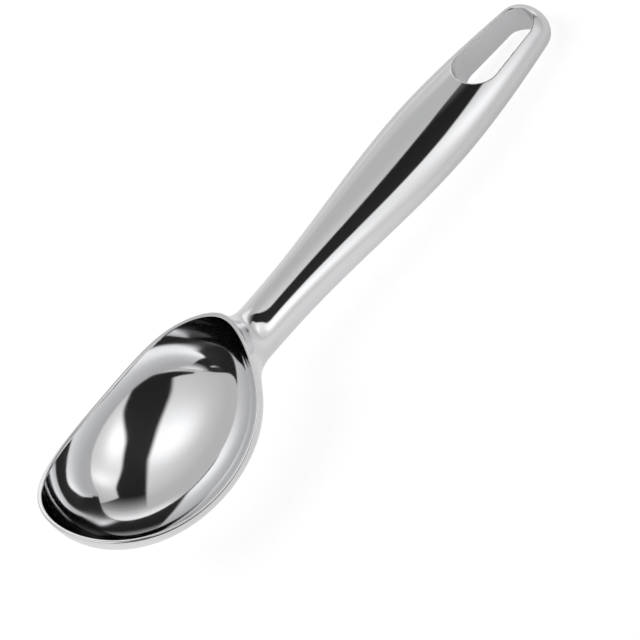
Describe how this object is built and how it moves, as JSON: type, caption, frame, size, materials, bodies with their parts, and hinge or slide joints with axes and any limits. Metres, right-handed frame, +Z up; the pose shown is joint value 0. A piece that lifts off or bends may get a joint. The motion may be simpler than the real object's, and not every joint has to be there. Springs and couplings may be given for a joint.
{
  "type": "ice cream scoop",
  "caption": "Solid one-piece metal scoop with an oval bowl, a dipped rim, a belly handle and a tapered hanging slot, lying at rest with the hollow up.",
  "frame": {"origin": "on the table under the middle of the scoop's overall box", "axes": "+Z up out of the hollow of the bowl, +X from the bowl along the handle to its end, +Y across the bowl"},
  "size_m": [0.1886, 0.0504, 0.0349],
  "materials": {
    "polished_metal": "polished"
  },
  "bodies": {
    "root": {"scoop": "polished_metal"}
  },
  "joints": []
}
